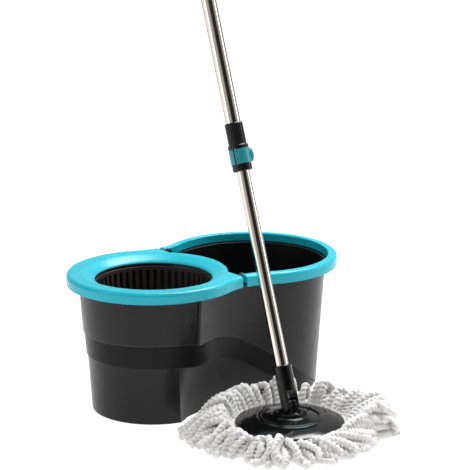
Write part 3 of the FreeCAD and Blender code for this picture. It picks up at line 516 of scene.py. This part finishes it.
def cord_mesh(line, run, radius, rng):
    """Twisted two-ply cord along a line, with a rounded tip."""
    sides, ups = cross_frames(line)
    angle = np.linspace(0, 2 * math.pi, CORD_SIDES, endpoint=False)
    phase = rng.uniform(0, 2 * math.pi)
    twist = run[:, None] * math.pi / CORD_BEAD + phase
    swell = 1 + CORD_LOBE * np.cos(2 * (angle[None] - twist))
    wander = 1 + CORD_WANDER * np.sin(run * rng.uniform(*WANDER_RATES) + phase)
    wander += CORD_KNOT * np.sin(2 * math.pi * run / CORD_BEAD + phase)
    left = np.clip((run[-1] - run) / radius, 0, 1)
    tip = np.sqrt(np.clip(1 - (1 - left) ** 2, TIP_FLOOR, 1))
    reach = radius * swell * (wander * tip)[:, None]
    around = (np.cos(angle)[None, :, None] * sides[:, None]
              + np.sin(angle)[None, :, None] * ups[:, None])
    rings = line[:, None] + around * reach[..., None]
    verts = rings.reshape(-1, 3)
    faces = []
    for k in range(len(line) - 1):
        for s in range(CORD_SIDES):
            a = k * CORD_SIDES + s
            b = k * CORD_SIDES + (s + 1) % CORD_SIDES
            faces.append((a, b, b + CORD_SIDES, a + CORD_SIDES))
    last = (len(line) - 1) * CORD_SIDES
    faces.append(tuple(range(CORD_SIDES))[::-1])
    faces.append(tuple(range(last, last + CORD_SIDES)))
    return verts, faces


def cord_route(azimuth, layer, rng):
    """Points of one cord, from the yarn ring over the crown and down to its end.

    Layer 1 is the top of the pile and layer 0 the bottom.
    """
    reach, crown_r, crown_z, end_z, lean = fringe_at(azimuth)
    bunch = math.radians(CLUMPS * azimuth + CLUMP_TURN * layer)
    azimuth -= CLUMP_PULL * math.sin(bunch)
    lift = layer * (1 + CLUMP_LIFT * math.cos(bunch) + rng.uniform(*LIFT_SCATTER))
    crown_z = CORD_R + (crown_z - 2 * CORD_R) * lift
    end_z = max(CORD_REST_Z, end_z * layer + rng.uniform(*END_SCATTER))
    reach *= 1 + rng.uniform(*REACH_SCATTER) - TOP_SHORTER * layer
    crown_r *= 1 + rng.uniform(*CROWN_SCATTER)
    lean += rng.uniform(*LEAN_SCATTER)
    sway = rng.uniform(*SWAY_SCATTER)
    shoulder_r = crown_r + (reach - crown_r) * SHOULDER_OUT
    shoulder_z = end_z + (crown_z - end_z) * SHOULDER_UP
    start_z = RING_MID_Z - CORD_DIP + (layer - LAYER_MIDDLE) * LAYER_RISE
    clear_r = DISC_R + DISC_CLEARANCE
    knots = [
        # radius, height, share of the lean, share of the sway
        (RING_R - RING_BITE, start_z, 0.0, 0.0),
        (clear_r, start_z + FIRST_RISE * (crown_z - start_z), 0.05, 0.2),
        ((clear_r + crown_r) / 2, start_z + SECOND_RISE * (crown_z - start_z), 0.18, 0.6),
        (crown_r, crown_z, 0.40, 0.9),
        (shoulder_r, shoulder_z, 0.72, -0.8),
        (reach, end_z, 1.0, 0.6),
    ]
    points = []
    for r, z, along, bend in knots:
        turn = math.radians(azimuth + lean * along + sway * bend)
        points.append((HEAD.x + r * math.cos(turn), HEAD.y + r * math.sin(turn), z))
    return points


def yarn_layer(name, layer, count, rng, material):
    """One layer of the fringe as one mesh of separate closed cords."""
    verts = []
    faces = []
    for k in range(count):
        azimuth = 360.0 * (k + rng.uniform(*AZIMUTH_SCATTER)) / count
        radius = CORD_R * rng.uniform(*RADIUS_SCATTER)
        line, run = smooth_path(cord_route(azimuth, layer, rng), CORD_STEP)
        cord_verts, cord_faces = cord_mesh(line, run, radius, rng)
        base = sum(len(v) for v in verts)
        verts.append(cord_verts)
        faces += [tuple(base + i for i in face) for face in cord_faces]
    mesh = bpy.data.meshes.new(name)
    mesh.from_pydata(np.vstack(verts).tolist(), [], faces)
    mesh.polygons.foreach_set("use_smooth", [True] * len(mesh.polygons))
    mesh.materials.append(material)
    obj = bpy.data.objects.new(name, mesh)
    bpy.context.collection.objects.link(obj)
    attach(obj, "mop_head")
    return obj


def yarn_fringe(material):
    """All the layers, in place of the plain CAD solid."""
    rng = random.Random(SEED)
    top, *_ = [yarn_layer(name, layer, count, rng, material) for name, layer, count in LAYERS]
    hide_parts("mop_yarn")


# ---------------------------------------------------------------- stage

def floor():
    """Grey floor that glows to near white, and fills the view to its far edge."""
    half = FLOOR_HALF
    mesh = bpy.data.meshes.new("floor")
    corners = [(-half, -half, 0), (half, -half, 0), (half, half, 0), (-half, half, 0)]
    mesh.from_pydata(corners, [], [(0, 1, 2, 3)])
    mat = new_material("floor_paint", FLOOR_GREY, roughness=0.75, Specular_IOR_Level=0.1,
                       Emission_Color=WHITE, Emission_Strength=FLOOR_GLOW)
    vary_roughness(mat, noise(mat, scale=3.0), low=0.7, high=0.8)
    mesh.materials.append(mat)
    obj = bpy.data.objects.new("floor", mesh)
    bpy.context.collection.objects.link(obj)


def soft_light(name, at, towards, size, watts):
    light = bpy.data.lights.new(name, "AREA")
    light.shape = "RECTANGLE"
    light.size, light.size_y = size
    light.energy = watts
    obj = bpy.data.objects.new(name, light)
    obj.location = at
    obj.rotation_euler = (Vector(towards) - Vector(at)).to_track_quat("-Z", "Y").to_euler()
    bpy.context.collection.objects.link(obj)


def lights():
    for name, at, size, watts in LIGHTS:
        soft_light(name, at, LIGHT_TARGET, size, watts)


def world():
    """Pale room with a darker side behind the camera."""
    room = bpy.data.worlds.new("room")
    room.use_nodes = True
    nodes = room.node_tree.nodes
    links = room.node_tree.links
    coords = nodes.new("ShaderNodeTexCoord")
    facing = nodes.new("ShaderNodeVectorMath")
    facing.operation = "DOT_PRODUCT"
    away = YAW - DARK_TURN
    facing.inputs[1].default_value = (-math.sin(away), -math.cos(away), DARK_RISE)
    ramp = nodes.new("ShaderNodeValToRGB")
    ramp.color_ramp.elements[0].position = DARK_START
    ramp.color_ramp.elements[0].color = ROOM_LIGHT
    ramp.color_ramp.elements[1].position = DARK_END
    ramp.color_ramp.elements[1].color = ROOM_DARK
    links.new(coords.outputs["Generated"], facing.inputs[0])
    links.new(facing.outputs["Value"], ramp.inputs["Fac"])
    links.new(ramp.outputs["Color"], nodes["Background"].inputs["Color"])
    bpy.context.scene.world = room


def camera():
    data = bpy.data.cameras.new("camera")
    data.lens = LENS
    data.sensor_width = SENSOR
    obj = bpy.data.objects.new("camera", data)
    obj.location = EYE
    obj.rotation_euler = Euler((math.pi / 2 - PITCH, 0, -YAW))
    bpy.context.collection.objects.link(obj)
    bpy.context.scene.camera = obj
    bpy.context.scene.view_settings.view_transform = "Standard"


def main():
    materials = {make.__name__: make() for make in MATERIALS}
    finish_nodes(materials)
    yarn_fringe(materials["yarn"])
    floor()
    lights()
    world()
    camera()
    bpy.context.view_layer.update()


main()
